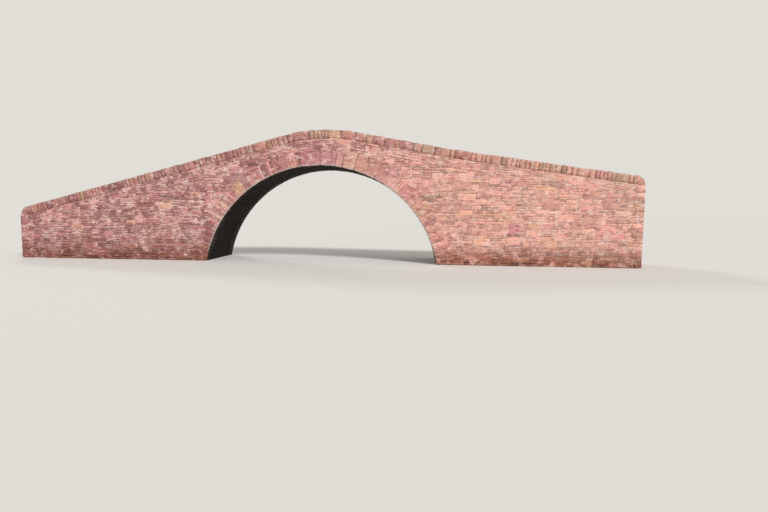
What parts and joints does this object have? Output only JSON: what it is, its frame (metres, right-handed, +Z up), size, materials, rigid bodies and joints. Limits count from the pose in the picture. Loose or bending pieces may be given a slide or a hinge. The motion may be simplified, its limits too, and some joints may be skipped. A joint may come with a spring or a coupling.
{
  "type": "packhorse bridge",
  "caption": "Humped stone packhorse bridge: one segmental arch, rubble side and wing walls, a cobbled path, low parapets and a coping of stones on edge.",
  "frame": {"origin": "middle of the base, under the middle of the arch and midway between the two ends", "axes": "+X along the bridge to the side with the gentler ramp, +Y across it through the arch, +Z up"},
  "size_m": [25.2, 2.86, 5.3099],
  "materials": {
    "wall_sandstone": "rough rubble of thin bedded sandstone in lime mortar",
    "arch_sandstone": "hammer-dressed thin voussoirs in lime mortar",
    "coping_sandstone": "weathered stones on edge with lichen",
    "rubble_core": "rubble and lime core",
    "path_cobbles": "worn river cobbles"
  },
  "bodies": {
    "root": {"arch_barrel": "arch_sandstone", "front_arch_ring": "arch_sandstone", "back_arch_ring": "arch_sandstone", "left_springing_course": "arch_sandstone", "right_springing_course": "arch_sandstone", "front_left_spandrel_wall": "wall_sandstone", "front_right_spandrel_wall": "wall_sandstone", "back_left_spandrel_wall": "wall_sandstone", "back_right_spandrel_wall": "wall_sandstone", "front_left_wing_wall": "wall_sandstone", "front_right_wing_wall": "wall_sandstone", "back_left_wing_wall": "wall_sandstone", "back_right_wing_wall": "wall_sandstone", "left_end_wall": "wall_sandstone", "right_end_wall": "wall_sandstone", "left_haunching": "rubble_core", "right_haunching": "rubble_core", "left_approach_fill": "rubble_core", "right_approach_fill": "rubble_core", "left_path": "path_cobbles", "crown_path": "path_cobbles", "right_path": "path_cobbles", "right_wing_path": "path_cobbles", "front_left_parapet": "wall_sandstone", "front_crown_parapet": "wall_sandstone", "front_right_parapet": "wall_sandstone", "front_right_wing_parapet": "wall_sandstone", "back_left_parapet": "wall_sandstone", "back_crown_parapet": "wall_sandstone", "back_right_parapet": "wall_sandstone", "back_right_wing_parapet": "wall_sandstone", "front_left_coping": "coping_sandstone", "front_crown_coping": "coping_sandstone", "front_right_coping": "coping_sandstone", "front_right_wing_coping": "coping_sandstone", "back_left_coping": "coping_sandstone", "back_crown_coping": "coping_sandstone", "back_right_coping": "coping_sandstone", "back_right_wing_coping": "coping_sandstone", "front_left_end_stone": "coping_sandstone", "front_right_end_stone": "coping_sandstone", "back_left_end_stone": "coping_sandstone", "back_right_end_stone": "coping_sandstone"}
  },
  "joints": []
}
